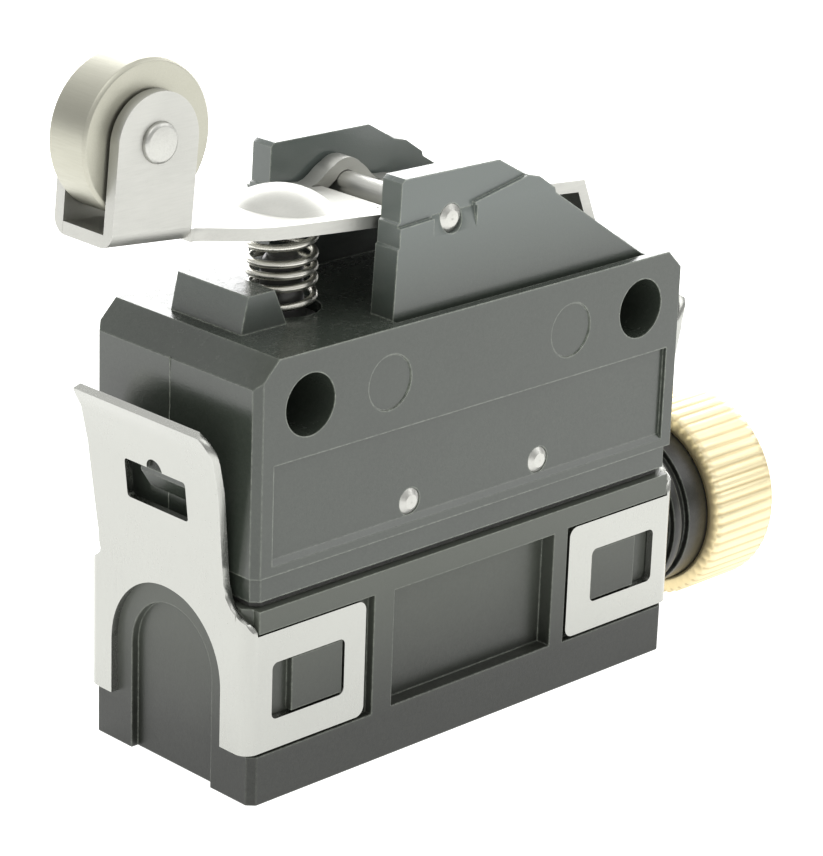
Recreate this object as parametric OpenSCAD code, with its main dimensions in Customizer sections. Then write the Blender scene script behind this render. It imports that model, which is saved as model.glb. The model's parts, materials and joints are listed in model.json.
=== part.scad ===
// Compact enclosed limit switch with a roller lever, a spring-loaded plunger,
// a snap-on terminal cover held by two leaf clips, and a brass cable gland.
// +X runs along the body towards the gland, +Z is up, the mounting holes run along Y.

/* [Body] */
// Length of the moulded body along X
body_len = 40; // [38:0.5:42]
// Depth of the moulded body along Y
body_dep = 16; // [15:0.5:18]
// Height of the housing top above the hole centres
top_z = 3.6; // [3:0.1:5]
// Height of the cover base below the hole centres
base_z = -26.9; // [-29:0.1:-25]
// Distance between the two mounting holes
hole_pitch = 31; // [29:0.5:32]
// Diameter of each mounting hole
hole_d = 4.2; // [4:0.1:4.5]

/* [Lever] */
// Thickness of the pressed steel lever
lever_t = 0.85; // [0.7:0.05:1]
// Downward tilt of the lever towards the gland end, in degrees
lever_tilt = 5.2; // [3:0.1:7]
// Half width of the lever paddle
paddle_hw = 4.65; // [4:0.05:4.8]
// Radius of the pressed dome over the spring
dome_r = 3.45; // [3:0.05:4]
// Height of the pressed dome
dome_h = 1.35; // [1:0.05:1.6]
// Radius of the steel roller
roller_r = 5.05; // [4.5:0.05:5.3]
// Width of the steel roller
roller_w = 3.5; // [3:0.1:3.6]
// Radius of the pivot pin
pin_r = 0.95; // [0.8:0.05:1.1]

/* [Plunger] */
// Distance from the hole centre line to the plunger axis
plunger_x = -10.9; // [-12:0.1:-10]
// Outer radius of the coil spring
spring_r = 2.4; // [2.2:0.05:2.6]
// Wire diameter of the coil spring
wire_d = 0.42; // [0.35:0.01:0.5]

/* [Clips] */
// Thickness of the stainless clip sheet
clip_t = 0.55; // [0.45:0.05:0.65]
// Half width of the lifting tab
tab_hw = 6.35; // [6:0.05:6.6]

/* [Gland] */
// Height of the gland axis
gland_z = -19.2; // [-20:0.1:-18]
// Outer radius of the knurled nut
nut_r = 7.4; // [7:0.05:7.6]
// Radius of the hole through the rubber grommet
cable_r = 2.9; // [2.5:0.1:3.2]

/* [Hidden] */
$fn = 48;
eps = 0.01;
hx = body_len / 2;
hy = body_dep / 2;
chamfer_top = 1.8;
edge = 0.5;
plate_z = -11;
skirt_z = -12.7;
skirt_in = 0.3;
gasket_t = 0.5;
cover_top = skirt_z - gasket_t;
run_gap = 0.05;
// pivot of the lever
piv_x = -2.3;
piv_z = 9.53;
tower_in = 4.9;
tower_out = 7;
tower_step = 0.3;
back_lean = -0.8;
ramp_z = 8.6;
ramp_rise = 1.25;
foot_groove = 0.35;
panel_low = -10.35;
panel_sink = 0.3;
// well and bore for the plunger
well_r = 2.65;
well_z = 1.3;
stem_r = 1.2;
stem_top = 7.2;
seat_top = 2.85;
bush_r = 2.1;
bush_bot = -1;
roof_z = -1;
seal_top = 1.2;
// inner switch
case_x0 = -13.5;
case_x1 = 10.5;
case_hy = 4.2;
case_top = -3.6;
case_split = -7.8;
block_z0 = -16.5;
block_z1 = -12.95;
block_hx = 13.5;
block_hy = 5.5;
blade_z = -6;
blade_t = 0.2;
blade_x = 8.4;
contact_x = -8.2;
contact_r = 0.9;
pin2_x = 6.1;
pin2_z = -9;
pin2_r = 0.9;
term_x = [-9, 0, 9];
no_leg = 3.95;
term_t = 0.8;
screw_r = 2.1;
// lever frame: top and bottom faces seen from the pivot
lev_top = 0.12;
lev_bot = lev_top - lever_t;
ear_u = -22.08;
ear_hw = 3.18;
axle_w = 5.84;
axle_r = 1.2;
ear_in = 1.95;
ear_out = ear_in + lever_t;
fold_r = 1.1;
head_h = 0.42;
knuckle_in = pin_r + run_gap;
knuckle_out = knuckle_in + lever_t;
centre_hy = 3;
side_y0 = 3.2;
side_y1 = 4.55;
tail_hw = 2.5;
tail_u = 17.5;
tail_drop = 62;
tail_len = 4.3;
// clips
arm_left = 10.05;
arm_right = 9.52;
pocket_x = 9.28;
clip_top = -14.9;
clip_bot = -23.2;
arch_r = 5.5;
arch_blank_r = 4;
arch_depth = 0.55;
pocket = 0.62;
pocket_ease = 0.42;
// gland
boss_r = 6.2;
neck_r = 5.2;
boss_end = 29.6;
nut_x0 = 26.4;
nut_x1 = 32.85;
nut_wall = 30.15;
nut_hole = 3.6;
ridges = 56;

// which part to build

// box from one corner to the other
module span(a, b) {
    translate(a) cube([b[0] - a[0], b[1] - a[1], b[2] - a[2]]);
}

// cylinder along Y, centred on y = 0
module along_y(x, z, r, len) {
    translate([x, len / 2, z]) rotate([90, 0, 0]) cylinder(h = len, r = r);
}

// cylinder along +X starting at x0
module along_x(x0, x1, r, z = gland_z) {
    translate([x0, 0, z]) rotate([0, 90, 0]) cylinder(h = x1 - x0, r = r);
}

// flat XZ outline given thickness along Y from y0 to y1
module side_plate(y0, y1) {
    translate([0, y1, 0]) rotate([90, 0, 0]) linear_extrude(y1 - y0) children();
}

// flat YZ outline given thickness along X from x0 to x1
module end_plate(x0, x1) {
    translate([x0, 0, 0]) rotate([90, 0, 90]) linear_extrude(x1 - x0) children();
}

// outline points in reverse order, mirrored in the first coordinate
function mirrored(p) = [for (i = [len(p) - 1:-1:0]) [-p[i][0], p[i][1]]];

// box in plan with cut corners, from z0 to z1
module bevel_box(ax, ay, z0, z1, c = edge) {
    translate([0, 0, z0]) linear_extrude(z1 - z0) polygon([
        [-ax, -ay + c], [-ax + c, -ay], [ax - c, -ay], [ax, -ay + c],
        [ax, ay - c], [ax - c, ay], [-ax + c, ay], [-ax, ay - c]]);
}

// wall that carries the pivot pin; lean moves its upper outline along X
module tower(lean) {
    difference() {
        side_plate(tower_in, tower_out) polygon([
            [-7.5, top_z - 1], [-7.5, top_z], [-7.25 + lean / 2, 8.3], [-7.1 + lean / 2, 8.4],
            [-7.05 + lean, 9.9], [-6.85 + lean, 10], [-6.75 + lean, 12.6], [-6.45 + lean, 12.85],
            [2.15 + lean, 12.7], [4.6 + lean, 11.3], [5.75 + lean, 11], [7.3 + lean, 9.95],
            [7.4 + lean, 9.6], [16.4, top_z], [16.4, top_z - 1]]);
        side_plate(tower_out - tower_step, tower_out + 1) polygon([
            [-9, 9.6], [-4.1, 9.85], [-4, ramp_z + ramp_rise], [-0.2, ramp_z + ramp_rise], [-0.3, 10.3],
            [4.62, 11.25], [4.62, 14], [-9, 14]]);
        // shallow ramp that leads into the recess under the pin
        translate([-4, tower_out, ramp_z]) rotate([atan(tower_step / ramp_rise), 0, 0])
            cube([3.9, 2, ramp_rise + 0.2]);
    }
}

// raised guard beside the spring
module fence() {
    difference() {
        side_plate(-3.1, 3.75) polygon([
            [-17.1, top_z - 1], [-17.1, top_z], [-16.55, 6.1], [-14.3, 6.1],
            [-13.2, top_z], [-13.2, top_z - 1]]);
        translate([plunger_x, 0, top_z]) cylinder(h = 8, r = well_r + 0.2);
    }
}

// tooth on the housing end that the clip window sits over
module end_tooth() {
    side_plate(-2.2, 2.2) polygon([
        [-hx + 1, -4.4], [-hx, -5.2], [-hx - 0.85, -5.75], [-hx - 0.85, -6.1],
        [-hx, -7.4], [-hx + 1, -7.4]]);
}

module case_pin_holes() {
    for (x = [-pin2_x, pin2_x]) along_y(x, pin2_z, pin2_r + 0.02, body_dep + 2);
}

module housing() {
    color([0.16, 0.17, 0.17]) difference() {
        union() {
            intersection() {
                bevel_box(hx, hy, plate_z, top_z);
                side_plate(-hy, hy) polygon([
                    [-hx, plate_z], [-hx, top_z - chamfer_top], [-hx + chamfer_top, top_z],
                    [hx - chamfer_top, top_z], [hx, top_z - chamfer_top], [hx, plate_z]]);
            }
            bevel_box(hx - skirt_in, hy - skirt_in, skirt_z, plate_z + 1);
            tower(back_lean);
            mirror([0, 1, 0]) tower(0);
            fence();
            end_tooth();
            mirror([1, 0, 0]) end_tooth();
        }
        // hollow for the inner switch
        span([case_x0 - 0.15, -case_hy - 0.15, skirt_z - 1],
            [case_x1 + 0.15, case_hy + 0.15, case_top + 0.1]);
        span([case_x0 + 1, -case_hy + 1, case_top], [-8, case_hy - 1, roof_z]);
        span([-block_hx - 0.2, -block_hy - 0.2, skirt_z - 1],
            [block_hx + 0.2, block_hy + 0.2, block_z1 + 0.35]);
        // mounting holes
        along_y(-hole_pitch / 2, 0, hole_d / 2, body_dep + 2);
        along_y(hole_pitch / 2, 0, hole_d / 2, body_dep + 2);
        // plunger well and bush seat
        translate([plunger_x, 0, well_z]) cylinder(h = 10, r = well_r);
        translate([plunger_x, 0, roof_z - 1]) cylinder(h = 5, r = bush_r);
        // pin bores
        along_y(piv_x, piv_z, pin_r + 0.02, 2 * tower_out + 2);
        case_pin_holes();
        for (s = [-1, 1]) {
            // long shallow panel on each face, with a sloping lower edge
            end_plate(-18.5, 18.5) polygon([
                [s * (hy + 1), -3.5], [s * (hy - panel_sink), -3.5], [s * (hy - panel_sink), panel_low + 0.4],
                [s * hy, panel_low], [s * (hy + 1), panel_low]]);
            // crease along the foot of each tower
            span([-7.5, s * (tower_out + foot_groove / 2) - foot_groove / 2, top_z - foot_groove],
                [16.4, s * (tower_out + foot_groove / 2) + foot_groove / 2, top_z + 1]);
            // round moulding dimples
            for (x = [-8.5, 8.5])
                translate([x, s * (hy + 1), -0.1]) rotate([90, 0, 0])
                    cylinder(h = 2.2, r = 1.9, center = true);
        }
    }
}

// catch block that fills part of a clip window
module catch_block() {
    span([12, -hy + 0.1, -21], [16.5, -hy + pocket + 1, -17.2]);
}

// shallow pocket for one arm of a clip, with the corner eased inside its bend
module ear_pocket() {
    span([pocket_x, -hy - 1, clip_bot - 0.2], [hx + 1, -hy + pocket, clip_top + 0.1]);
    translate([hx, -hy + pocket, clip_bot - 0.2]) rotate([0, 0, 45])
        translate([-pocket_ease, -pocket_ease, 0])
            cube([2 * pocket_ease, 2 * pocket_ease, cover_top + 1 - clip_bot]);
    // room for the sheet that rises out of the bend
    span([hx - 0.5, -hy - 1, clip_top], [hx + 1, -hy + pocket, cover_top + 1]);
}

module cover() {
    color([0.09, 0.1, 0.09]) difference() {
        union() {
            difference() {
                bevel_box(hx, hy, base_z, cover_top);
                for (a = [0, 1], b = [0, 1])
                    mirror([a, 0, 0]) mirror([0, b, 0]) ear_pocket();
                // long centre panels on both faces
                span([-7.45, -hy - 1, clip_bot - 0.1], [7.9, -hy + 1.15, clip_top]);
                span([-7.45, hy - 1.15, clip_bot - 0.1], [7.9, hy + 1, clip_top]);
                // arched blank on the end away from the gland
                along_x(-hx - 1, -hx + arch_depth, arch_blank_r);
                span([-hx - 1, -arch_blank_r, base_z - 1], [-hx + arch_depth, arch_blank_r, gland_z]);
            }
            for (a = [0, 1], b = [0, 1])
                mirror([a, 0, 0]) mirror([0, b, 0]) catch_block();
            // gland boss with thread-like rings
            along_x(hx - 2, 21.6, neck_r);
            along_x(21.2, boss_end, boss_r - 0.45);
            along_x(21.2, 22, boss_r);
            along_x(22.8, 23.6, boss_r);
            along_x(24.4, boss_end, boss_r);
        }
        // hollow for the terminals
        span([-17.7, -6, base_z + 1.5], [17.7, 6, cover_top + 1]);
        along_x(17, boss_end - 6.5, cable_r + 0.3);
        along_x(boss_end - 6.6, boss_end + 1, 4);
    }
}

module cover_gasket() {
    color([0.05, 0.05, 0.05]) difference() {
        bevel_box(hx - 0.6, hy - 0.6, cover_top, skirt_z);
        span([-block_hx - 0.3, -block_hy - 0.3, cover_top - 1],
            [block_hx + 0.3, block_hy + 0.3, skirt_z + 1]);
    }
}

// plan of the wrapped sheet: end wall, two bends and two arms
module wrap_plan(r, arm_end) {
    x0 = -hx - clip_t;
    difference() {
        union() {
            translate([x0 + r, -hy]) square([hx - arm_end + clip_t - r, body_dep]);
            translate([x0, -hy + r]) square([3, body_dep - 2 * r]);
            translate([x0 + r, -hy + r]) circle(r = r);
            translate([x0 + r, hy - r]) circle(r = r);
        }
        translate([x0 + r, -hy + clip_t]) square([body_len, body_dep - 2 * clip_t]);
        translate([x0 + clip_t, -hy + r]) square([body_len, body_dep - 2 * r]);
        translate([x0 + r, -hy + r]) circle(r = r - clip_t);
        translate([x0 + r, hy - r]) circle(r = r - clip_t);
    }
}

// rectangle in the XZ plane with rounded corners, from corner a to corner b
module soft_rect(a, b, r) {
    translate([a[0] + r, a[1]]) square([b[0] - a[0] - 2 * r, b[1] - a[1]]);
    translate([a[0], a[1] + r]) square([b[0] - a[0], b[1] - a[1] - 2 * r]);
    for (x = [a[0] + r, b[0] - r], z = [a[1] + r, b[1] - r]) translate([x, z]) circle(r = r);
}

// half outline of the clip's end: the sheet rises out of the bend in a wide curve up to the tab;
// hw is the tab's half width at its foot, c the size of its top corner
function clip_flank(hw, c) = [[hy + 1, clip_bot - 1], [hy + 1, clip_top], [hy, clip_top],
    [hy - 0.1, clip_top + 0.35], [hy - 0.36, clip_top + 0.9], [hy - 1, clip_top + 1.3],
    [hy - 1.5, clip_top + 1.7], [hw + 0.08, clip_top + 2.4], [hw, clip_top + 3.3], [hw + 0.2, -6],
    [hw + 0.25, -1 - 2.2 * c], [hw + 0.25 - 0.1 * c, -1 - 1.4 * c], [hw + 0.25 - 0.32 * c, -1 - 0.7 * c],
    [hw + 0.25 - 0.7 * c, -1 - 0.15 * c], [hw + 0.25 - 1.15 * c, -1 + 0.2 * c], [hw + 0.25 - 1.25 * c, 0]];

module clip(arm_end) {
    bend = 1;
    wall_top = clip_top + 3;
    color([0.86, 0.87, 0.85]) difference() {
        union() {
            // two arms with rounded ends
            intersection() {
                translate([0, 0, clip_bot]) linear_extrude(clip_top - clip_bot) wrap_plan(bend, arm_end);
                side_plate(-hy - 1, hy + 1) soft_rect([-hx - 5, clip_bot], [-arm_end, clip_top], 0.7);
            }
            // end wall and flared lifting tab
            intersection() {
                union() {
                    translate([0, 0, clip_bot]) linear_extrude(wall_top - clip_bot) wrap_plan(bend, arm_end);
                    side_plate(-tab_hw - 0.5, tab_hw + 0.5) polygon([
                        [-hx, clip_top - 1], [-hx - clip_t, clip_top - 1], [-hx - clip_t, -14],
                        [-20.95, -11], [-21.6, -5.3], [-22.15, -2.7], [-22.9, -1.3],
                        [-22.45, -1.0], [-21.65, -2.5], [-21.05, -5.2], [-20.4, -11], [-hx, -14]]);
                }
                end_plate(-hx - 5, -hx + 0.4)
                    polygon(concat(clip_flank(tab_hw + 0.15, 0.4), mirrored(clip_flank(tab_hw - 0.35, 1))));
                // above the bend only the sloping tab is left
                side_plate(-hy - 1, hy + 1) polygon([
                    [-hx + 1, clip_bot - 1], [-hx - 1, clip_bot - 1], [-hx - 1, -14], [-24, -11], [-24, 0],
                    [-20.3, 0], [-20.3, -11], [-hx, -14], [-hx + 1, clip_top]]);
            }
        }
        // arched opening, open at the bottom
        along_x(-hx - 2, -hx + 2, arch_r);
        span([-hx - 2, -arch_r, clip_bot - 1], [-hx + 2, arch_r, gland_z]);
        // window in the lifting tab, with a rounded notch for the tooth
        end_plate(-24, -hx + 0.05) soft_rect([-3, -8.1], [3, -5.35], 0.25);
        translate([-24, 0, -5.35]) rotate([0, 90, 0]) cylinder(h = 4.05, r = 0.75);
        // windows in both arms
        side_plate(-hy - 1, hy + 1) soft_rect([-18.3, -21.1], [-11.9, -17.1], 0.45);
    }
}

module clip_left() {
    clip(arm_left);
}

module clip_right() {
    mirror([1, 0, 0]) clip(arm_right);
}

// places children in the lever's own tilted frame at the pivot
module at_lever() {
    translate([piv_x, 0, piv_z]) rotate([0, lever_tilt, 0]) children();
}

// one side of the paddle outline, seen from above
function flank() = [[-18.7, 2.65], [-17.6, 3.05], [-16.4, 3.6], [-15, 4.2], [-13.6, 4.55],
    [-11.6, paddle_hw], [-5.4, side_y1 + 0.05], [4.8, side_y1], [6, 4], [7.5, tail_hw + 0.3],
    [8.5, tail_hw], [tail_u, tail_hw]];
function flip(p) = [for (i = [len(p) - 1:-1:0]) [p[i][0], -p[i][1]]];

// strap over or under the pin; near is the face of the sheet that the hump rises from
module knuckle(y0, y1, up) {
    s = up ? 1 : -1;
    near = up ? lev_top : lev_bot;
    intersection() {
        difference() {
            union() {
                along_y(0, 0, knuckle_out, 2 * y1);
                side_plate(-y1, y1) polygon([
                    [-3.2, s > 0 ? lev_bot : lev_top], [-3.2, near], [-2.75, near + s * 0.14],
                    [-2.3, near + s * 0.45], [-1.8, near + s * 0.9], [-1.3, s * 1.36],
                    [1.3, s * 1.36], [1.8, near + s * 0.9], [2.3, near + s * 0.45],
                    [2.75, near + s * 0.14], [3.2, near], [3.2, s > 0 ? lev_bot : lev_top]]);
            }
            along_y(0, 0, knuckle_in, 20);
            side_plate(-10, 10) polygon([
                [-2.4, s > 0 ? lev_bot - 1 : lev_top + 1], [-2.4, s > 0 ? lev_bot : lev_top],
                [-0.9, s * 0.43], [0.9, s * 0.43],
                [2.4, s > 0 ? lev_bot : lev_top], [2.4, s > 0 ? lev_bot - 1 : lev_top + 1]]);
        }
        union() {
            span([-4, y0, s > 0 ? lev_bot : -4], [4, y1, s > 0 ? 4 : lev_top]);
            span([-4, -y1, s > 0 ? lev_bot : -4], [4, -y0, s > 0 ? 4 : lev_top]);
        }
    }
}

module lever() {
    dome_R = (dome_r * dome_r + dome_h * dome_h) / (2 * dome_h);
    dome_u = (plunger_x - piv_x) / cos(lever_tilt);
    color([0.72, 0.72, 0.7]) at_lever() {
        difference() {
            union() {
                // bracket floor, paddle and tail in one sheet
                translate([0, 0, lev_bot]) linear_extrude(lever_t)
                    polygon(concat([[-25.25, ear_out], [-18.7, ear_out]], flank(),
                        flip(flank()), [[-18.7, -ear_out], [-25.25, -ear_out]]));
                intersection() {
                    translate([dome_u, 0, lev_top + dome_h - dome_R]) sphere(r = dome_R);
                    translate([dome_u, 0, lev_bot]) cylinder(h = 4, r = dome_r);
                }
                // bent-down stop at the tail
                side_plate(-tail_hw, tail_hw) polygon([
                    [tail_u - 0.5, lev_top], [tail_u, lev_top],
                    [tail_u + tail_len * cos(tail_drop), lev_top - tail_len * sin(tail_drop)],
                    [tail_u + tail_len * cos(tail_drop) - lever_t * sin(tail_drop),
                        lev_top - tail_len * sin(tail_drop) - lever_t * cos(tail_drop)],
                    [tail_u - 0.5, lev_bot]]);
                // two upright ears
                for (s = [-1, 1])
                    side_plate(s > 0 ? ear_in : -ear_out, s > 0 ? ear_out : -ear_in) union() {
                        translate([ear_u - ear_hw, lev_bot]) square([2 * ear_hw, axle_w - lev_bot]);
                        translate([ear_u, axle_w]) circle(r = ear_hw);
                    }
            }
            // outer round of the two folds under the ears
            for (s = [-1, 1]) difference() {
                span([ear_u - ear_hw - 1, s * ear_out - (s > 0 ? fold_r : 1), lev_bot - 1],
                    [ear_u + ear_hw, s * ear_out + (s > 0 ? 1 : fold_r), lev_bot + fold_r]);
                translate([ear_u - ear_hw - 2, s * (ear_out - fold_r), lev_bot + fold_r])
                    rotate([0, 90, 0]) cylinder(h = 2 * ear_hw + 4, r = fold_r);
                span([ear_u - ear_hw - 2, -ear_out + fold_r, lev_bot - 2],
                    [ear_u + ear_hw + 2, ear_out - fold_r, lev_bot + 3]);
            }
            // underside of the dome
            translate([dome_u, 0, lev_top + dome_h - dome_R]) sphere(r = dome_R - lever_t);
            along_y(ear_u, axle_w, axle_r + 0.01, 10);
            // clearance where the knuckles rise and fall
            span([-3.19, side_y0 - 0.2, -3], [3.19, 6, 3]);
            span([-3.19, -6, -3], [3.19, -side_y0 + 0.2, 3]);
            span([-3.19, -side_y0, -3], [3.19, side_y0, 3]);
        }
        knuckle(side_y0, side_y1, true);
        knuckle(0, centre_hy, false);
    }
}

module roller() {
    color([0.62, 0.6, 0.55]) at_lever() translate([ear_u, 0, axle_w]) rotate([90, 0, 0])
        rotate_extrude() polygon([
            [axle_r + run_gap, -roller_w / 2], [1.9, -roller_w / 2], [2, -roller_w / 2 + 0.15],
            [2.7, -roller_w / 2 + 0.15], [2.8, -roller_w / 2], [roller_r - 0.2, -roller_w / 2],
            [roller_r, -roller_w / 2 + 0.2], [roller_r, roller_w / 2 - 0.2],
            [roller_r - 0.2, roller_w / 2], [2.8, roller_w / 2], [2.7, roller_w / 2 - 0.15],
            [2, roller_w / 2 - 0.15], [1.9, roller_w / 2], [axle_r + run_gap, roller_w / 2]]);
}

module roller_axle() {
    color([0.75, 0.75, 0.72]) at_lever() translate([ear_u, 0, axle_w]) rotate([90, 0, 0])
        rotate_extrude() polygon([
            [0, -ear_out - head_h], [1.1, -ear_out - head_h + 0.04], [1.28, -ear_out - head_h + 0.15],
            [1.36, -ear_out], [axle_r, -ear_out], [axle_r, ear_out], [1.36, ear_out],
            [1.28, ear_out + head_h - 0.15], [1.1, ear_out + head_h - 0.04], [0, ear_out + head_h]]);
}

module pivot_pin() {
    color([0.8, 0.8, 0.78]) translate([piv_x, 0, piv_z]) rotate([90, 0, 0])
        rotate_extrude() polygon([
            [0, -6.95], [0.55, -6.9], [pin_r, -6.7], [pin_r, 6.7], [0.55, 6.9], [0, 6.95]]);
}

// closed helix of round wire, built ring by ring
module coil_spring() {
    sides = 8;
    steps = 24;
    z0 = seat_top + wire_d / 2 + 0.02;
    z1 = 9.62;
    turns = 5.6;
    n = round(turns * steps);
    r = spring_r - wire_d / 2;
    pts = [for (i = [0:n]) let (a = i * 360 / steps, f = i / n,
            h = z0 + (z1 - z0) * (f + 0.35 * sin(360 * f) / (2 * PI)))
        for (k = [0:sides - 1]) let (b = k * 360 / sides, q = r + wire_d / 2 * cos(b))
            [q * cos(a), q * sin(a), h + wire_d / 2 * sin(b)]];
    walls = [for (i = [0:n - 1], k = [0:sides - 1]) let (m = (k + 1) % sides)
        [i * sides + k, (i + 1) * sides + k, (i + 1) * sides + m, i * sides + m]];
    first = [for (k = [0:sides - 1]) k];
    last = [for (k = [sides - 1:-1:0]) n * sides + k];
    color([0.45, 0.45, 0.43]) translate([plunger_x, 0, 0])
        polyhedron(points = pts, faces = concat(walls, [first], [last]), convexity = 10);
}

module plunger() {
    color([0.07, 0.07, 0.07]) translate([plunger_x, 0, 0]) rotate_extrude() polygon([
        [0, -2.5], [stem_r - 0.2, -2.5], [stem_r, -2.3], [stem_r, 2.4],
        [spring_r + 0.1, 2.5], [spring_r + 0.1, seat_top], [1.7, seat_top], [1.5, 4.2],
        [1.4, stem_top - 0.5], [1, stem_top], [0, stem_top]]);
}

module plunger_seal() {
    color([0.04, 0.04, 0.04]) translate([plunger_x, 0, 0]) rotate_extrude() polygon([
        [stem_r + 0.03, 0.5], [bush_r - 0.02, 0.5], [bush_r - 0.02, well_z],
        [1.9, 1.55], [stem_r + 0.35, 1.4], [stem_r + 0.03, 1.1]]);
}

module plunger_bush() {
    color([0.7, 0.55, 0.25]) translate([plunger_x, 0, 0]) rotate_extrude() polygon([
        [stem_r + run_gap, bush_bot], [bush_r - 0.01, bush_bot], [bush_r - 0.01, 0.48],
        [stem_r + run_gap, 0.48]]);
}

module case_pins() {
    color([0.82, 0.82, 0.8]) for (x = [-pin2_x, pin2_x])
        translate([x, 0, pin2_z]) rotate([90, 0, 0]) rotate_extrude() polygon([
            [0, -hy + 0.05], [0.5, -hy + 0.1], [pin2_r, -hy + 0.35], [pin2_r, hy - 0.35],
            [0.5, hy - 0.1], [0, hy - 0.05]]);
}

module gland_nut() {
    color([0.85, 0.68, 0.32]) difference() {
        union() {
            along_x(nut_x0, nut_x1 - 0.4, nut_r - 0.18);
            translate([nut_x1 - 0.4, 0, gland_z]) rotate([0, 90, 0])
                cylinder(h = 0.4, r1 = nut_r - 0.18, r2 = nut_r - 0.55);
            translate([nut_x0 + 0.4, 0, gland_z]) rotate([0, 90, 0])
                linear_extrude(nut_x1 - nut_x0 - 0.9)
                    polygon([for (i = [0:2 * ridges - 1])
                        let (r = nut_r - 0.17 * (i % 2), a = i * 180 / ridges)
                        [r * cos(a), r * sin(a)]]);
        }
        along_x(nut_x0 - 1, nut_wall, boss_r + run_gap);
        along_x(nut_x0 - 1, nut_x1 + 1, nut_hole);
        translate([nut_x0 - eps, 0, gland_z]) rotate([0, 90, 0])
            cylinder(h = 0.45, r1 = boss_r + 0.5, r2 = boss_r + run_gap);
    }
}

module gland_grommet() {
    color([0.05, 0.05, 0.05]) difference() {
        along_x(boss_end - 6.6 + 0.02, boss_end, 3.98);
        along_x(20, boss_end + 1, cable_r);
    }
}

module gland_washer() {
    color([0.7, 0.7, 0.68]) difference() {
        along_x(boss_end + 0.03, boss_end + 0.5, 5.9);
        along_x(20, boss_end + 1, 3.2);
    }
}

module switch_base() {
    color([0.35, 0.1, 0.07]) difference() {
        union() {
            span([case_x0, -case_hy, block_z1 - 0.1], [case_x1, case_hy, case_split]);
            span([-block_hx, -block_hy, block_z0], [block_hx, block_hy, block_z1]);
        }
        case_pin_holes();
        // slots for the three terminal legs
        span([contact_x - 0.85, 2.58, block_z0 - 1], [contact_x + 0.85, 3.02, case_split + 1]);
        span([contact_x + no_leg - 0.85, -3.02, block_z0 - 1],
            [contact_x + no_leg + 0.85, -2.58, case_split + 1]);
        span([blade_x - 1.02, -1.22, block_z0 - 1], [blade_x + 1.02, 1.22, case_split + 1]);
        // threaded holes for the terminal screws
        for (x = term_x) translate([x, screw_y(x), block_z0 - 1]) cylinder(h = 4, r = 0.92);
    }
}

function screw_y(x) = x < -1 ? -1.8 : x > 1 ? -3 : 1.5;

module switch_case() {
    color([0.12, 0.12, 0.12]) difference() {
        span([case_x0, -case_hy, case_split + 0.01], [case_x1, case_hy, case_top]);
        span([case_x0 + 0.8, -3.4, case_split - 1], [case_x1 - 0.8, 3.4, -4.2]);
        translate([plunger_x, 0, -5]) cylinder(h = 3, r = 1 + run_gap);
    }
}

module switch_button() {
    color([0.8, 0.3, 0.12]) translate([plunger_x, 0, 0]) rotate_extrude() polygon([
        [0, -5.7], [1.25, -5.7], [1.25, -5.4], [1, -5.3], [1, -2.75], [0.8, -2.53], [0, -2.53]]);
}

module snap_blade() {
    color([0.8, 0.6, 0.3]) difference() {
        translate([0, 0, blade_z]) linear_extrude(blade_t) polygon([
            [-12, -1], [-11, -1.2], [9.2, -1.2], [9.2, 1.2], [-11, 1.2], [-12, 1]]);
        translate([contact_x, 0, -8]) cylinder(h = 4, r = 0.5);
        span([-6, -0.4, -8], [4, 0.4, -4]);
    }
}

module moving_contact() {
    color([0.85, 0.85, 0.82]) translate([contact_x, 0, 0]) rotate_extrude() polygon([
        [0, blade_z - 0.38], [contact_r - 0.2, blade_z - 0.35], [contact_r, blade_z - 0.01],
        [0.49, blade_z - 0.01], [0.49, blade_z + blade_t + 0.01],
        [contact_r, blade_z + blade_t + 0.01], [contact_r - 0.2, blade_z + blade_t + 0.35],
        [0, blade_z + blade_t + 0.38]]);
}

// screw pad under the block, joined to a leg
module pad(x, y0, y1) {
    difference() {
        span([x - 2.6, min(y0, y1), block_z0 - term_t], [x + 2.6, max(y0, y1), block_z0 - 0.01]);
        translate([x, screw_y(x), block_z0 - 2]) cylinder(h = 4, r = 1.05);
    }
}

module terminal_com() {
    color([0.82, 0.66, 0.34]) {
        span([blade_x - 1, -1.2, block_z0 - 0.1], [blade_x + 1, 1.2, blade_z - 0.06]);
        pad(term_x[2], -5, 1.2);
    }
}

module terminal_no() {
    color([0.82, 0.66, 0.34]) {
        span([contact_x + no_leg - 0.8, -3, block_z0 - 0.1],
            [contact_x + no_leg + 0.8, -2.6, case_split + 0.4]);
        span([contact_x - 0.8, -3, case_split + 0.02], [contact_x + no_leg + 0.8, -1.9, case_split + 0.4]);
        span([contact_x - 0.8, -2, case_split + 0.02], [contact_x + 0.8, 0.8, case_split + 0.4]);
        translate([contact_x, 0, case_split + 0.3]) cylinder(h = 0.38, r = contact_r - 0.1);
        pad(term_x[0], -4.6, 0.9);
        span([-8, -3, block_z0 - term_t], [contact_x + no_leg + 0.8, -2.6, block_z0 - 0.01]);
    }
}

module terminal_nc() {
    color([0.82, 0.66, 0.34]) {
        span([contact_x - 0.8, 2.6, block_z0 - term_t], [contact_x + 0.8, 3, -4.6]);
        span([contact_x - 0.8, -0.8, -5], [contact_x + 0.8, 3, -4.6]);
        translate([contact_x, 0, -5.35]) cylinder(h = 0.4, r = contact_r - 0.1);
        span([contact_x - 0.8, 2.6, block_z0 - term_t], [-1, 4.4, block_z0 - 0.01]);
        pad(term_x[1], -1.2, 4.4);
    }
}

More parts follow.
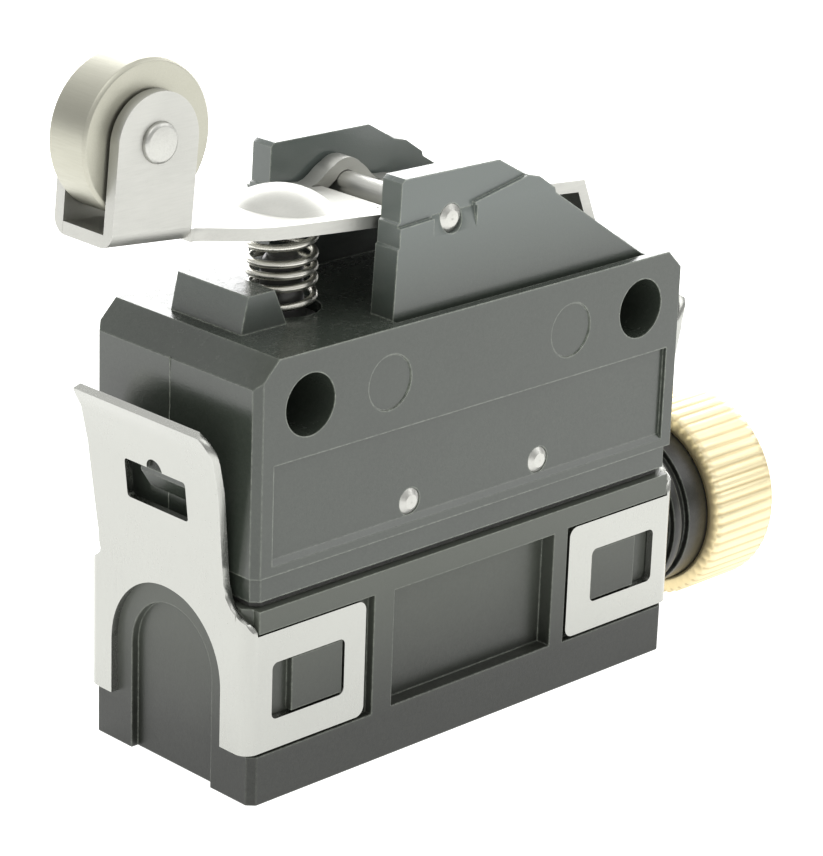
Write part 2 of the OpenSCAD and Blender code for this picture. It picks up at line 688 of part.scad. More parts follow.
module terminal_screws() {
    color([0.78, 0.76, 0.7]) for (x = term_x) translate([x, screw_y(x), block_z0 - term_t])
        difference() {
            rotate_extrude() polygon([
                [0, -2.2], [1.7, -2.1], [screw_r, -1.7], [screw_r, -0.52], [0.9, -0.52],
                [0.9, 3.4], [0.5, 3.8], [0, 3.8]]);
            span([-3, -0.3, -3], [3, 0.3, -1.5]);
        }
}

module terminal_washers() {
    color([0.7, 0.7, 0.66]) for (x = term_x) translate([x, screw_y(x), block_z0 - term_t - 0.5])
        difference() {
            cylinder(h = 0.48, r = 2.4);
            translate([0, 0, -1]) cylinder(h = 3, r = 1);
        }
}

module insulator() {
    color([0.75, 0.72, 0.62]) difference() {
        span([-17.4, -5.6, base_z + 1.52], [17.4, 5.6, base_z + 1.8]);
        for (x = [-15, 15]) translate([x, 0, base_z]) cylinder(h = 4, r = 1.2);
    }
}

housing();
cover();
cover_gasket();
clip_left();
clip_right();
lever();
roller();
roller_axle();
pivot_pin();
coil_spring();
plunger();
plunger_seal();
plunger_bush();
case_pins();
gland_nut();
gland_grommet();
gland_washer();
switch_base();
switch_case();
switch_button();
snap_blade();
moving_contact();
terminal_com();
terminal_no();
terminal_nc();
terminal_screws();
terminal_washers();
insulator();
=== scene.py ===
import bpy, bmesh, json, math
from mathutils import Matrix, Vector


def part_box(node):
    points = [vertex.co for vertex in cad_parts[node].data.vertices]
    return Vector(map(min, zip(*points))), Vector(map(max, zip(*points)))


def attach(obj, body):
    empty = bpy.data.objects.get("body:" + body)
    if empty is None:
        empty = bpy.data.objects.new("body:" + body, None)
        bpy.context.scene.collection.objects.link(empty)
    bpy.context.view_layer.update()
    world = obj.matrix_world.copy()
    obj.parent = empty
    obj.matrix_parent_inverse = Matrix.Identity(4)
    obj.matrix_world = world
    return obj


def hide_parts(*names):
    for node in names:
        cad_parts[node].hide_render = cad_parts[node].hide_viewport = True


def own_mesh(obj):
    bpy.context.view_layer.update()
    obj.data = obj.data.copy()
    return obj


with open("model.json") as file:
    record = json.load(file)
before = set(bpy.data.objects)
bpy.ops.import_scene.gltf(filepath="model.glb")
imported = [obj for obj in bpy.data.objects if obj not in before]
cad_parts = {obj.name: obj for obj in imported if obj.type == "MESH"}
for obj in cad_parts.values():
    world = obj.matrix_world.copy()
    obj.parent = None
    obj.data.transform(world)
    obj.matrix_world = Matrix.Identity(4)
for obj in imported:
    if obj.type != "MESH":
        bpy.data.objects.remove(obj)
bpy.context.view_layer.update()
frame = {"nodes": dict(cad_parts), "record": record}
nodes = frame["nodes"]
mm = 0.001
print("frame loaded:", len(nodes), "nodes")


cameraSet = {
    "place": (-0.15346, -0.15534, 0.0729),
    "azimuth": -44.936,
    "elevation": 20.203,
    "roll": 2.041,
    "lens": 142.9,
    "sensor": 36,
    "clip": (0.005, 10),
}


def makeCamera(s):
    cam = bpy.data.objects.new("camera", bpy.data.cameras.new("camera"))
    bpy.context.scene.collection.objects.link(cam)
    side, rise, roll = (math.radians(s[key]) for key in ("azimuth", "elevation", "roll"))
    back = Vector((math.sin(side) * math.cos(rise), -math.cos(side) * math.cos(rise), math.sin(rise)))
    right = Vector((0, 0, 1)).cross(back).normalized()
    up = back.cross(right)
    right, up = (math.cos(roll) * right + math.sin(roll) * up, -math.sin(roll) * right + math.cos(roll) * up)
    turn = Matrix((right, up, back)).transposed().to_4x4()
    cam.matrix_world = Matrix.Translation(s["place"]) @ turn
    cam.data.lens, cam.data.sensor_width = s["lens"], s["sensor"]
    cam.data.clip_start, cam.data.clip_end = s["clip"]
    bpy.context.scene.camera = cam


makeCamera(cameraSet)
print("camera placed")


def addNode(tree, kind, props=None, puts=None):
    node = tree.nodes.new("ShaderNode" + kind)
    for key, value in (props or {}).items():
        setattr(node, key, value)
    for key, value in (puts or {}).items():
        if isinstance(value, bpy.types.NodeSocket):
            tree.links.new(value, node.inputs[key])
        else:
            node.inputs[key].default_value = value
    return node


def calc(tree, kind, a, b=0.0, clamp=False):
    return addNode(tree, "Math", {"operation": kind, "use_clamp": clamp}, {0: a, 1: b}).outputs[0]


def remap(tree, value, low, high, outLow=0.0, outHigh=1.0):
    puts = {"Value": value, "From Min": low, "From Max": high, "To Min": outLow, "To Max": outHigh}
    return addNode(tree, "MapRange", {}, puts).outputs["Result"]


def mixColor(tree, factor, a, b):
    node = addNode(tree, "Mix", {"data_type": "RGBA", "blend_type": "MIX"}, {0: factor})
    for index, value in ((6, a), (7, b)):
        if isinstance(value, bpy.types.NodeSocket):
            tree.links.new(value, node.inputs[index])
        else:
            node.inputs[index].default_value = (*value[:3], 1)
    return node.outputs[2]


def noise(tree, vector, scale, detail=3.0, rough=0.55):
    return addNode(tree, "TexNoise", {}, {"Vector": vector, "Scale": scale, "Detail": detail,
                                          "Roughness": rough}).outputs["Fac"]


def stretch(tree, vector, scale):
    return addNode(tree, "VectorMath", {"operation": "MULTIPLY"}, {0: vector, 1: scale}).outputs[0]


studioSet = {
    "worldColor": (1.0, 1.0, 0.99),
    "worldStrength": 0.55,  # at the horizon
    "skyStrength": 1.3,  # overhead
    "skyGrade": (0.25, 0.9),
    "keyPlace": (-0.2, -0.1, 0.5),
    "keySize": (0.3, 0.3),
    "keyPower": 0.4,
    "screenAway": 0.8,
    "screenTurn": 45,
    "screenHeight": 0.3,
    "screenSize": (1.5, 0.5),
    "screenGlow": 4.5,
    "windowPlace": (0.4, -0.31, 0.32),
    "windowSize": (0.35, 0.28),
    "windowGlow": 1.9,
    "floorReach": 3.0,
    "floorColor": (0.5, 0.5, 0.49),
    "floorRough": 0.9,
    "floorGlow": 1.05,
}


def makeWorld(s):
    world = bpy.data.worlds.new("studio")
    bpy.context.scene.world = world
    world.use_nodes = True
    tree = world.node_tree
    sky = tree.nodes["Background"]
    sky.inputs["Color"].default_value = (*s["worldColor"], 1)
    # the room gets brighter towards the ceiling
    toward = addNode(tree, "TexCoord").outputs["Generated"]
    height = addNode(tree, "SeparateXYZ", {}, {0: toward}).outputs["Z"]
    strength = remap(tree, height, *s["skyGrade"], s["worldStrength"], s["skyStrength"])
    tree.links.new(strength, sky.inputs["Strength"])


def softLight(name, place, size, power):
    data = bpy.data.lights.new(name, "AREA")
    data.shape, data.size, data.size_y = "RECTANGLE", *size
    data.energy = power
    lamp = bpy.data.objects.new(name, data)
    bpy.context.scene.collection.objects.link(lamp)
    lamp.location = place
    lamp.rotation_euler = (-Vector(place)).to_track_quat("-Z", "Y").to_euler()  # aimed at the switch


def panelPower(glow, size):
    return glow * math.pi * size[0] * size[1]  # an even panel gives radiance power / (pi * area)


def makeLights(s):
    # soft box over the left shoulder
    softLight("keyLight", s["keyPlace"], s["keySize"], s["keyPower"])
    # bright screen low behind the switch
    turn = math.radians(s["screenTurn"])
    place = (s["screenAway"] * math.sin(turn), s["screenAway"] * math.cos(turn), s["screenHeight"])
    softLight("backScreen", place, s["screenSize"], panelPower(s["screenGlow"], s["screenSize"]))
    # window on the right that picks out the upper edges
    softLight("sideWindow", s["windowPlace"], s["windowSize"], panelPower(s["windowGlow"], s["windowSize"]))


def makeFloor(s):
    low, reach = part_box("cover")[0].z, s["floorReach"]
    corners = [(-reach, -reach, low), (reach, -reach, low), (reach, reach, low), (-reach, reach, low)]
    mesh = bpy.data.meshes.new("floor")
    mesh.from_pydata(corners, [], [(0, 1, 2, 3)])
    floor = bpy.data.objects.new("floor", mesh)
    bpy.context.scene.collection.objects.link(floor)
    mat = bpy.data.materials.new("paleFloor")
    mat.use_nodes = True
    shader = mat.node_tree.nodes["Principled BSDF"]
    shader.inputs["Base Color"].default_value = (*s["floorColor"], 1)
    shader.inputs["Roughness"].default_value = s["floorRough"]
    # an overexposed table, which also lights the switch from below
    shader.inputs["Emission Strength"].default_value = s["floorGlow"]
    shader.inputs["Emission Color"].default_value = (1, 1, 1, 1)
    mesh.materials.append(mat)


makeWorld(studioSet)
makeLights(studioSet)
makeFloor(studioSet)
bpy.context.scene.view_settings.view_transform = "Standard"
print("studio ready")


def newEffect(name, inputs, outputs):
    tree = bpy.data.node_groups.new(name, "ShaderNodeTree")
    for label, kind, value in inputs:
        socket = tree.interface.new_socket(name=label, in_out="INPUT", socket_type="NodeSocket" + kind)
        if value is not None:
            socket.default_value = value
    for label, kind in outputs:
        tree.interface.new_socket(name=label, in_out="OUTPUT", socket_type="NodeSocket" + kind)
    return tree, tree.nodes.new("NodeGroupInput").outputs, tree.nodes.new("NodeGroupOutput").inputs


def makeMouldGrain():
    # fine texture left by the mould, with a slow drift of tone across the face
    tree, given, gives = newEffect("mouldGrain", [("Vector", "Vector", None), ("Scale", "Float", 9000.0)],
                                   [("Height", "Float"), ("Tone", "Float"), ("Drift", "Float")])
    fine = noise(tree, given["Vector"], given["Scale"], 2.0)
    coarse = noise(tree, given["Vector"], calc(tree, "MULTIPLY", given["Scale"], 0.35), 3.0)
    height = calc(tree, "ADD", calc(tree, "MULTIPLY", fine, 0.6), calc(tree, "MULTIPLY", coarse, 0.4))
    drift = noise(tree, given["Vector"], calc(tree, "MULTIPLY", given["Scale"], 0.02), 3.0, 0.6)
    tree.links.new(height, gives["Height"])
    tree.links.new(remap(tree, height, 0.35, 0.65), gives["Tone"])
    tree.links.new(remap(tree, drift, 0.3, 0.7), gives["Drift"])
    return tree


def makeEdgeWearAndHighlight():
    # picks out outer edges by comparing the plain normal with a rounded one; the lighter colour laid on them
    # is part edge wear, part painted highlight
    tree, given, gives = newEffect("edgeWearAndHighlight", [("Vector", "Vector", None), ("Radius", "Float", 0.0002),
                                                ("Breakup", "Float", 2500.0)], [("Mask", "Float")])
    rounded = addNode(tree, "Bevel", {"samples": 4}, {"Radius": given["Radius"]}).outputs["Normal"]
    plain = addNode(tree, "NewGeometry").outputs["Normal"]
    dot = addNode(tree, "VectorMath", {"operation": "DOT_PRODUCT"}, {0: rounded, 1: plain}).outputs["Value"]
    edge = remap(tree, dot, 0.99, 0.8)
    edgeBreakup = remap(tree, noise(tree, given["Vector"], given["Breakup"], 4.0), 0.35, 0.6, 0.35, 1.0)
    tree.links.new(calc(tree, "MULTIPLY", edge, edgeBreakup, True), gives["Mask"])
    return tree


def makeRolledLines():
    # long fine lines of rolled or drawn metal, along the axis that is squeezed least
    inputs = [("Vector", "Vector", None), ("Along", "Vector", (1, 20, 20)), ("Scale", "Float", 600.0)]
    tree, given, gives = newEffect("rolledLines", inputs, [("Height", "Float"), ("Tone", "Float")])
    lines = noise(tree, stretch(tree, given["Vector"], given["Along"]), given["Scale"], 4.0, 0.65)
    tree.links.new(lines, gives["Height"])
    tree.links.new(remap(tree, lines, 0.35, 0.65), gives["Tone"])
    return tree


def makeScratches():
    # sparse hair scratches in two directions
    tree, given, gives = newEffect("hairScratches", [("Vector", "Vector", None), ("Scale", "Float", 500.0),
                                                     ("Amount", "Float", 0.5)], [("Mask", "Float")])
    total = None
    for turn in (0.5, 2.1):
        spun = addNode(tree, "VectorRotate", {"rotation_type": "EULER_XYZ"},
                       {"Vector": given["Vector"], "Rotation": (turn, turn * 0.6, turn * 0.8)}).outputs[0]
        hair = noise(tree, stretch(tree, spun, (1, 22, 22)), given["Scale"], 2.0)
        mask = remap(tree, hair, 0.66, 0.72)
        total = mask if total is None else calc(tree, "MAXIMUM", total, mask)
    tree.links.new(calc(tree, "MULTIPLY", total, given["Amount"]), gives["Mask"])
    return tree


def makeDust():
    # light dust that lies on faces which look upwards
    tree, given, gives = newEffect("settledDust", [("Vector", "Vector", None), ("Scale", "Float", 1800.0)],
                                   [("Mask", "Float")])
    normal = addNode(tree, "NewGeometry").outputs["Normal"]
    upward = addNode(tree, "SeparateXYZ", {}, {0: normal}).outputs["Z"]
    specks = remap(tree, noise(tree, given["Vector"], given["Scale"], 5.0, 0.7), 0.5, 0.7)
    facing = remap(tree, upward, 0.5, 1.0)
    tree.links.new(calc(tree, "MULTIPLY", facing, specks, True), gives["Mask"])
    return tree


def makeHandling():
    # smudges that change only how rough the surface is
    tree, given, gives = newEffect("handling", [("Vector", "Vector", None), ("Scale", "Float", 150.0),
                                                ("Low", "Float", 0.3), ("High", "Float", 0.45)],
                                   [("Roughness", "Float")])
    patch = noise(tree, given["Vector"], given["Scale"], 6.0, 0.6)
    tree.links.new(remap(tree, patch, 0.3, 0.7, given["Low"], given["High"]), gives["Roughness"])
    return tree


effects = {
    "grain": makeMouldGrain(),
    "edge": makeEdgeWearAndHighlight(),
    "lines": makeRolledLines(),
    "scratch": makeScratches(),
    "dust": makeDust(),
    "handling": makeHandling(),
}
print("shared effects made:", len(effects))


def useEffect(tree, name, puts):
    return addNode(tree, "Group", {"node_tree": effects[name]}, puts).outputs


def newMaterial(name):
    # the material, its node tree, its shader and the place on the piece
    mat = bpy.data.materials.new(name)
    mat.use_nodes = True
    tree = mat.node_tree
    place = addNode(tree, "TexCoord").outputs["Object"]
    return mat, tree, tree.nodes["Principled BSDF"], place


def bump(tree, shader, height, depth):
    node = addNode(tree, "Bump", {}, {"Height": height, "Distance": depth, "Strength": 1.0})
    tree.links.new(node.outputs["Normal"], shader.inputs["Normal"])


def handledRough(tree, place, s):
    low, high = s["rough"]
    return useEffect(tree, "handling", {"Vector": place, "Low": low, "High": high})["Roughness"]


def mouldedPlastic(name, s):
    mat, tree, shader, place = newMaterial(name)
    grain = useEffect(tree, "grain", {"Vector": place, "Scale": s["grainScale"]})
    edge = useEffect(tree, "edge", {"Vector": place, "Radius": s["edgeRadius"]})["Mask"]
    dust = useEffect(tree, "dust", {"Vector": place})["Mask"]
    scratch = useEffect(tree, "scratch", {"Vector": place, "Amount": s["scratch"]})["Mask"]
    darker = tuple(c * (1 - s["drift"]) for c in s["color"])
    lighter = tuple(c * (1 + s["drift"]) for c in s["color"])
    color = mixColor(tree, grain["Drift"], darker, lighter)
    if s["paintedHeightShading"]:
        # painted light and shade: paler from one height to another, standing in for the shade that falls on
        # the lower parts of the piece
        low, high, paintedLitTint = s["paintedHeightShading"]
        rise = addNode(tree, "SeparateXYZ", {}, {0: place}).outputs["Z"]
        color = mixColor(tree, remap(tree, rise, low * mm, high * mm), color, paintedLitTint)
    if s["boss"]:
        # the turned boss past the end wall is darker
        along = addNode(tree, "SeparateXYZ", {}, {0: place}).outputs["X"]
        past = remap(tree, along, (s["boss"] - s["bossBlend"]) * mm, s["boss"] * mm)
        color = mixColor(tree, past, color, s["bossColor"])
    color = mixColor(tree, calc(tree, "MULTIPLY", grain["Tone"], s["speckle"]), color, s["speckleColor"])
    # painted highlight mixed with edge wear: a lighter colour on the outer edges
    color = mixColor(tree, calc(tree, "MULTIPLY", edge, s["edgeAmount"]), color, s["edgeColor"])
    color = mixColor(tree, scratch, color, s["edgeColor"])
    color = mixColor(tree, calc(tree, "MULTIPLY", dust, s["dust"]), color, s["dustColor"])
    tree.links.new(color, shader.inputs["Base Color"])
    rough = handledRough(tree, place, s)
    rough = calc(tree, "ADD", rough, calc(tree, "MULTIPLY", dust, s["dustRough"]))
    tree.links.new(rough, shader.inputs["Roughness"])
    shader.inputs["IOR"].default_value = s["ior"]
    bump(tree, shader, grain["Height"], s["grainDepth"])
    return mat


def workedMetal(name, s):
    mat, tree, shader, place = newMaterial(name)
    lines = useEffect(tree, "lines", {"Vector": place, "Along": s["along"], "Scale": s["lineScale"]})
    grain = useEffect(tree, "grain", {"Vector": place, "Scale": s["grainScale"]})
    edge = useEffect(tree, "edge", {"Vector": place, "Radius": s["edgeRadius"]})["Mask"]
    scratch = useEffect(tree, "scratch", {"Vector": place, "Amount": s["scratch"]})["Mask"]
    color = mixColor(tree, calc(tree, "MULTIPLY", lines["Tone"], s["lineTone"]), s["color"], s["shade"])
    color = mixColor(tree, calc(tree, "MULTIPLY", grain["Drift"], s["drift"]), color, s["shade"])
    # painted highlight mixed with edge wear: a lighter colour on the outer edges
    color = mixColor(tree, calc(tree, "MULTIPLY", edge, s["edgeAmount"]), color, s["edgeColor"])
    if s["knurl"]:
        # painted shade in the grooves of the knurl, standing in for the shading between the teeth, and a
        # painted tint on the rim of the mouth
        k = s["knurl"]
        split = addNode(tree, "SeparateXYZ", {}, {0: place}).outputs
        angle = calc(tree, "ARCTAN2", calc(tree, "SUBTRACT", split["Z"], k["axis"]), split["Y"])
        wave = calc(tree, "COSINE", calc(tree, "MULTIPLY", angle, k["teeth"]))
        color = mixColor(tree, remap(tree, wave, *k["groove"]), color, k["grooveShadeColor"])
        # painted shade on the rim of the mouth: a golder tint standing in for the shadowed chamfer and its
        # reflection of the dark housing
        color = mixColor(tree, remap(tree, split["X"], *k["rim"]), color, k["rimShadeTint"])
    tree.links.new(color, shader.inputs["Base Color"])
    shader.inputs["Metallic"].default_value = 1.0
    rough = handledRough(tree, place, s)
    rough = calc(tree, "ADD", rough, calc(tree, "MULTIPLY", lines["Tone"], s["lineRough"]))
    rough = calc(tree, "ADD", rough, calc(tree, "MULTIPLY", scratch, s["scratchRough"]))
    tree.links.new(rough, shader.inputs["Roughness"])
    height = calc(tree, "ADD", calc(tree, "MULTIPLY", lines["Height"], s["lineHeight"]),
                  calc(tree, "MULTIPLY", grain["Height"], 1 - s["lineHeight"]))
    height = calc(tree, "SUBTRACT", height, calc(tree, "MULTIPLY", scratch, s["scratchDepth"]))
    bump(tree, shader, height, s["depth"])
    return mat


def pressedCard(name, s):
    mat, tree, shader, place = newMaterial(name)
    fibre = useEffect(tree, "lines", {"Vector": place, "Along": (1, 6, 6), "Scale": s["fibreScale"]})
    cross = useEffect(tree, "lines", {"Vector": place, "Along": (6, 1, 6), "Scale": s["fibreScale"]})
    tone = calc(tree, "MULTIPLY", calc(tree, "ADD", fibre["Tone"], cross["Tone"]), 0.5)
    tree.links.new(mixColor(tree, tone, s["dark"], s["light"]), shader.inputs["Base Color"])
    shader.inputs["Roughness"].default_value = s["rough"]
    bump(tree, shader, tone, s["depth"])
    return mat


nutLow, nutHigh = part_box("gland_nut")
nutTeeth = 56

plasticBase = {
    "rough": (0.17, 0.26), "ior": 1.6, "grainScale": 9000.0, "grainDepth": 0.000012, "drift": 0.07,
    "speckle": 0.1, "speckleColor": (0.12, 0.13, 0.11), "scratch": 0.02,
    "edgeColor": (0.34, 0.37, 0.31), "edgeAmount": 0.5, "edgeRadius": 0.0002,
    "dust": 0.04, "dustColor": (0.5, 0.49, 0.46), "dustRough": 0.15,
    "paintedHeightShading": None, "boss": None, "bossBlend": 0.1, "bossColor": (0.006, 0.006, 0.005),
}
# what each plastic has of its own
plasticSets = {
    # the housing and cover carry painted shade low down and painted light higher up
    "housing_plastic": {"color": (0.031, 0.038, 0.03), "paintedHeightShading": (3.2, 10.0, (0.1, 0.117, 0.109)),
                        "edgeAmount": 0.8},
    "cover_plastic": {"color": (0.012, 0.0135, 0.0105), "paintedHeightShading": (-24.0, -14.0, (0.066, 0.073, 0.06)),
                      "rough": (0.28, 0.4), "ior": 1.46, "edgeAmount": 0.6, "boss": 20.6},
    "black_rubber": {"color": (0.03, 0.03, 0.028), "rough": (0.65, 0.8), "grainDepth": 0.00003},
    "black_plastic": {"color": (0.05, 0.05, 0.048), "rough": (0.25, 0.35)},
    "red_plastic": {"color": (0.2, 0.05, 0.035), "rough": (0.4, 0.5), "edgeColor": (0.3, 0.1, 0.07)},
    "button_plastic": {"color": (0.62, 0.16, 0.04), "rough": (0.3, 0.4), "edgeColor": (0.7, 0.25, 0.1)},
}
metalBase = {
    "shade": (0.36, 0.36, 0.34), "along": (1, 20, 20), "grainScale": 6000.0, "drift": 0.2, "depth": 0.000006,
    "lineScale": 500.0, "lineTone": 0.25, "lineRough": 0.06, "lineHeight": 0.7,
    "edgeColor": (0.62, 0.62, 0.6), "edgeAmount": 0.35, "edgeRadius": 0.00012,
    "scratch": 0.25, "scratchRough": 0.2, "scratchDepth": 0.3, "knurl": None,
}
# what each metal has of its own
metalSets = {
    "clip_steel": {"color": (0.415, 0.42, 0.395), "along": (20, 20, 1), "rough": (0.16, 0.26),
                   "lineTone": 0.12},
    "lever_steel": {"color": (0.5, 0.5, 0.47), "rough": (0.38, 0.48), "lineHeight": 0.25, "depth": 0.000012,
                    "lineTone": 0.1},
    "roller_steel": {"color": (0.44, 0.435, 0.37), "shade": (0.36, 0.35, 0.29), "along": (20, 1, 20),
                     "rough": (0.34, 0.44)},
    "pin_steel": {"color": (0.5, 0.5, 0.47), "along": (20, 1, 20), "rough": (0.24, 0.36), "depth": 0.00002},
    "spring_steel": {"color": (0.7, 0.69, 0.63), "shade": (0.42, 0.41, 0.36), "rough": (0.2, 0.3)},
    "bush_brass": {"color": (0.75, 0.58, 0.28), "shade": (0.5, 0.36, 0.15), "rough": (0.25, 0.35)},
    "nut_brass": {"color": (0.8, 0.71, 0.47), "shade": (0.68, 0.58, 0.35), "rough": (0.38, 0.48),
                  "edgeColor": (0.95, 0.9, 0.72), "edgeAmount": 0.15, "scratch": 0.1,
                  "knurl": {"teeth": nutTeeth, "axis": (nutLow.z + nutHigh.z) / 2, "groove": (0.2, 0.95),
                            "grooveShadeColor": (0.6, 0.5, 0.3), "rimShadeTint": (0.9, 0.76, 0.45),
                            "rim": (nutLow.x + 0.14 * mm, nutLow.x + 0.03 * mm)}},
    "contact_copper": {"color": (0.82, 0.5, 0.28), "shade": (0.6, 0.33, 0.16), "rough": (0.2, 0.3)},
    "contact_silver": {"color": (0.9, 0.9, 0.87), "rough": (0.2, 0.35)},
    "terminal_brass": {"color": (0.82, 0.66, 0.34), "shade": (0.6, 0.45, 0.2), "rough": (0.25, 0.4)},
}
cardSet = {"light": (0.62, 0.57, 0.44), "dark": (0.5, 0.45, 0.33), "rough": 0.85, "fibreScale": 900.0,
           "depth": 0.00002}

materials = {name: mouldedPlastic(name, {**plasticBase, **own}) for name, own in plasticSets.items()}
materials.update({name: workedMetal(name, {**metalBase, **own}) for name, own in metalSets.items()})
materials["card"] = pressedCard("card", cardSet)
print("materials made:", len(materials))


# how much each part's edges are rounded, in mm
edgeRounds = {
    "housing": 0.14, "cover": 0.14, "clip_left": 0.1, "clip_right": 0.1, "lever": 0.13, "roller": 0.05,
    "roller_axle": 0.05, "gland_nut": 0.04, "gland_washer": 0.05, "plunger": 0.05, "insulator": 0.04,
    "cover_gasket": 0.08, "switch_base": 0.12, "switch_case": 0.12, "snap_blade": 0.03,
    "terminal_com": 0.06, "terminal_no": 0.06, "terminal_nc": 0.06, "terminal_screws": 0.06,
    "terminal_washers": 0.04,
}
roundSet = {"joinGap": 1e-6, "flatAngle": 0.8, "sharpAngle": 28, "segments": 2, "weight": 80}


def makeSmoothJoin(s):
    # joins the split faces and shades them smooth, ready for the edge rounding
    tree = bpy.data.node_groups.new("smoothJoin", "GeometryNodeTree")
    tree.interface.new_socket(name="Geometry", in_out="INPUT", socket_type="NodeSocketGeometry")
    tree.interface.new_socket(name="Geometry", in_out="OUTPUT", socket_type="NodeSocketGeometry")
    start, end = tree.nodes.new("NodeGroupInput"), tree.nodes.new("NodeGroupOutput")
    join = tree.nodes.new("GeometryNodeMergeByDistance")
    join.inputs["Distance"].default_value = s["joinGap"]
    smooth = tree.nodes.new("GeometryNodeSetShadeSmooth")
    tree.links.new(start.outputs[0], join.inputs["Geometry"])
    tree.links.new(join.outputs["Geometry"], smooth.inputs["Geometry"])
    tree.links.new(smooth.outputs["Geometry"], end.inputs[0])
    return tree


def roundEdges(part, width, s):
    part.modifiers.new("join", "NODES").node_group = smoothJoin
    flat = part.modifiers.new("flat", "DECIMATE")
    flat.decimate_type = "DISSOLVE"
    flat.angle_limit = math.radians(s["flatAngle"])
    soft = part.modifiers.new("soft", "BEVEL")
    soft.limit_method = "ANGLE"
    soft.angle_limit = math.radians(s["sharpAngle"])
    soft.width = width * mm
    soft.segments = s["segments"]
    soft.use_clamp_overlap = True
    shade = part.modifiers.new("shade", "WEIGHTED_NORMAL")
    shade.mode = "FACE_AREA"
    shade.weight = s["weight"]


smoothJoin = makeSmoothJoin(roundSet)
slotOf = {row["node"]: row["material_slot"] for row in frame["record"]["subparts"]}
for name, part in nodes.items():
    part.material_slots[0].material = materials[slotOf[name]]
    if name in edgeRounds:
        roundEdges(part, edgeRounds[name], roundSet)
print("parts finished")


def skinRings(form, rings, looped=False):
    # smooth skin over a row of rings, capped at both ends or looped back to the first
    for one, two in zip(rings, rings[1:] + (rings[:1] if looped else [])):
        for k in range(len(one)):
            m = (k + 1) % len(one)
            form.faces.new((one[k], two[k], two[m], one[m])).smooth = True
    if not looped:
        form.faces.new(rings[0])
        form.faces.new(rings[-1][::-1])


def newObject(name, form, slot):
    bmesh.ops.recalc_face_normals(form, faces=form.faces)
    mesh = bpy.data.meshes.new(name)
    form.to_mesh(mesh)
    form.free()
    mesh.materials.append(materials[slot])
    piece = bpy.data.objects.new(name, mesh)
    bpy.context.scene.collection.objects.link(piece)
    return piece


springSet = {
    "turns": 5.6, "wire": 0.52, "sides": 14, "stepsPerTurn": 48,
    "closed": 0.35,  # how much tighter the coils lie at the ends
    "endThin": 0.55, "endTaper": 6,  # the ground ends of the wire
    "keep": 0.89,  # its length at the end of the stroke, as a share
}


def makeSpring(s):
    low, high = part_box("coil_spring")
    wire = s["wire"] * mm / 2
    radius = (high.x - low.x) / 2 - wire
    centre = Vector(((low.x + high.x) / 2, (low.y + high.y) / 2, 0))
    bottom, rise = low.z + wire, high.z - low.z - 2 * wire
    steps = round(s["turns"] * s["stepsPerTurn"])
    form = bmesh.new()
    rings = []
    for i in range(steps + 1):
        f, a = i / steps, 2 * math.pi * i / s["stepsPerTurn"]
        height = bottom + rise * (f + s["closed"] * math.sin(2 * math.pi * f) / (2 * math.pi))
        out = Vector((math.cos(a), math.sin(a), 0))
        thin = min(1, s["endThin"] + s["endTaper"] * min(f, 1 - f))
        ring = []
        for k in range(s["sides"]):
            b = 2 * math.pi * k / s["sides"]
            lift = Vector((0, 0, height + wire * thin * math.sin(b)))
            ring.append(form.verts.new(centre + out * (radius + wire * math.cos(b)) + lift))
        rings.append(ring)
    skinRings(form, rings)
    spring = newObject("spring_wire", form, "spring_steel")
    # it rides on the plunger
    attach(spring, "push_rod")
    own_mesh(spring)
    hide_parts("coil_spring")


makeSpring(springSet)
print("spring made")


flashSet = {
    "width": 0.13, "height": 0.09, "inset": 0.02, "steps": 26,
    "side": 0.4,  # from the middle plane
    "edge": 16.8,  # the housing's top edge above the cover
    "top": 1.9, "bottom": 14.2,  # both down from that edge
}


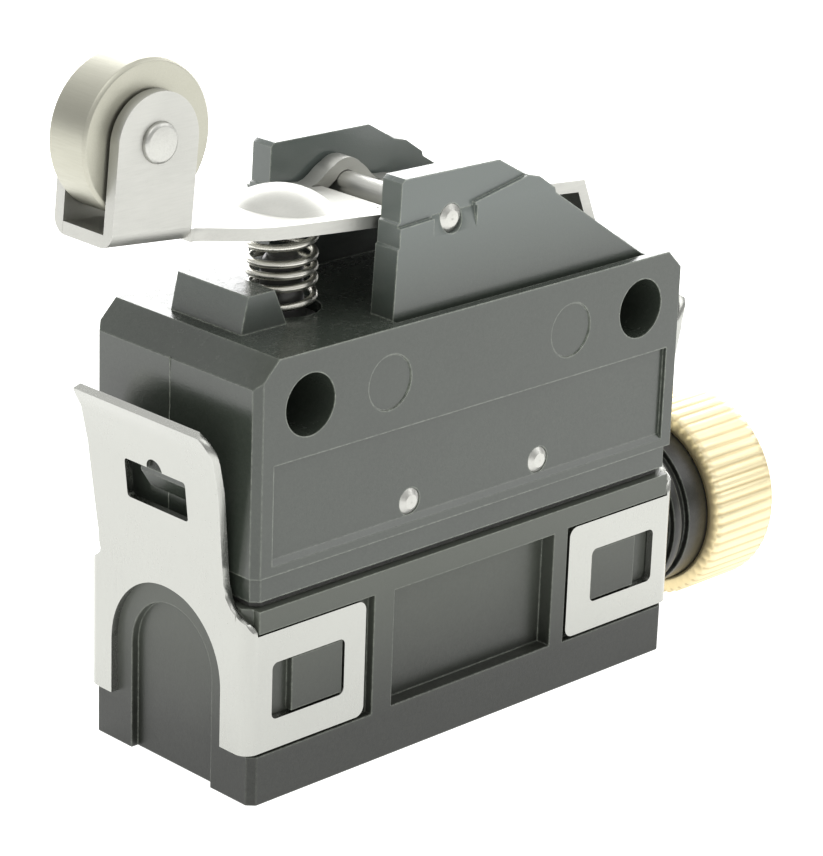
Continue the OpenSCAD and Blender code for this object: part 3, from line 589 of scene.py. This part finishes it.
def makeFlash(name, end, s):
    # thin ragged ridge where the mould halves meet, from the top chamfer down the end face
    low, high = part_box("cover")
    face, edge = end * -low.x, high.z + s["edge"] * mm
    top, bottom = edge - s["top"] * mm, edge - s["bottom"] * mm
    form = bmesh.new()
    rings = []
    for i in range(s["steps"] + 1):
        f = i / s["steps"]
        wave = math.sin(23.7 * f) + 0.6 * math.sin(57.1 * f + 1.3)
        half = s["width"] * mm * (0.5 + 0.12 * wave)
        peak = s["height"] * mm * (0.7 + 0.25 * math.sin(41.3 * f + 0.4))
        y, z = s["side"] * mm + 0.02 * mm * wave, top + (bottom - top) * f
        foot = face - end * s["inset"] * mm
        corners = ((foot, y - half, z), (face + end * peak, y, z), (foot, y + half, z))
        rings.append([form.verts.new(corner) for corner in corners])
    skinRings(form, rings)
    ridge = newObject(name, form, "housing_plastic")
    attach(ridge, "case")


for name, end in (("flash_left", -1), ("flash_right", 1)):
    makeFlash(name, end, flashSet)
print("mould flash made")


nutSet = {
    "teeth": nutTeeth, "perTooth": 8, "depth": 0.075, "mouth": 6.5, "rim": 0.35, "boss": 6.25, "wall": 30.15,
    "hole": 3.6, "face": 4.2, "bevel": 0.22,
}


def makeNut(s):
    low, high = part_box("gland_nut")
    outer = (high.y - low.y) / 2
    centre = (high.z + low.z) / 2
    x0, x1 = low.x, high.x
    rim, wall, hole, boss = (s[key] * mm for key in ("rim", "wall", "hole", "boss"))
    mouth, face, bevel = (s[key] * mm for key in ("mouth", "face", "bevel"))
    # place along the axis, radius, share of the knurl depth
    profile = [
        # bore and mouth, towards the cover
        (wall, hole, 0), (wall, boss, 0), (x0 + 0.35 * mm, boss, 0),
        (x0, mouth - 0.25 * mm, 0), (x0, mouth, 0),
        # near rim, with the deepest cuts
        (x0 + 0.05 * mm, outer - bevel, 1.5), (x0 + 0.25 * mm, outer, 2.6), (x0 + 0.6 * mm, outer, 1),
        # far rim
        (x1 - 3 * rim, outer, 0.6), (x1 - 1.4 * rim, outer, 0.6), (x1 - 0.6 * rim, outer - bevel, 0.3),
        # far face
        (x1, outer - 0.7 * mm, 0), (x1, face + 0.8 * mm, 0),
        (x1 - 0.3 * mm, face, 0), (x1 - 0.3 * mm, hole, 0),
    ]
    around = s["teeth"] * s["perTooth"]
    form = bmesh.new()
    rings = []
    for x, radius, cut in profile:
        ring = []
        for i in range(around):
            phase = 2 * (i % s["perTooth"]) / s["perTooth"]
            dip = (0.5 + 0.5 * math.cos(math.pi * phase)) ** 2 * s["depth"] * mm * cut
            a = 2 * math.pi * i / around
            out = radius - dip
            ring.append(form.verts.new((x, out * math.cos(a), centre + out * math.sin(a))))
        rings.append(ring)
    skinRings(form, rings, looped=True)
    nut = newObject("knurled_nut", form, "nut_brass")
    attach(nut, "cable_nut")
    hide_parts("gland_nut")


makeNut(nutSet)
print("nut made")
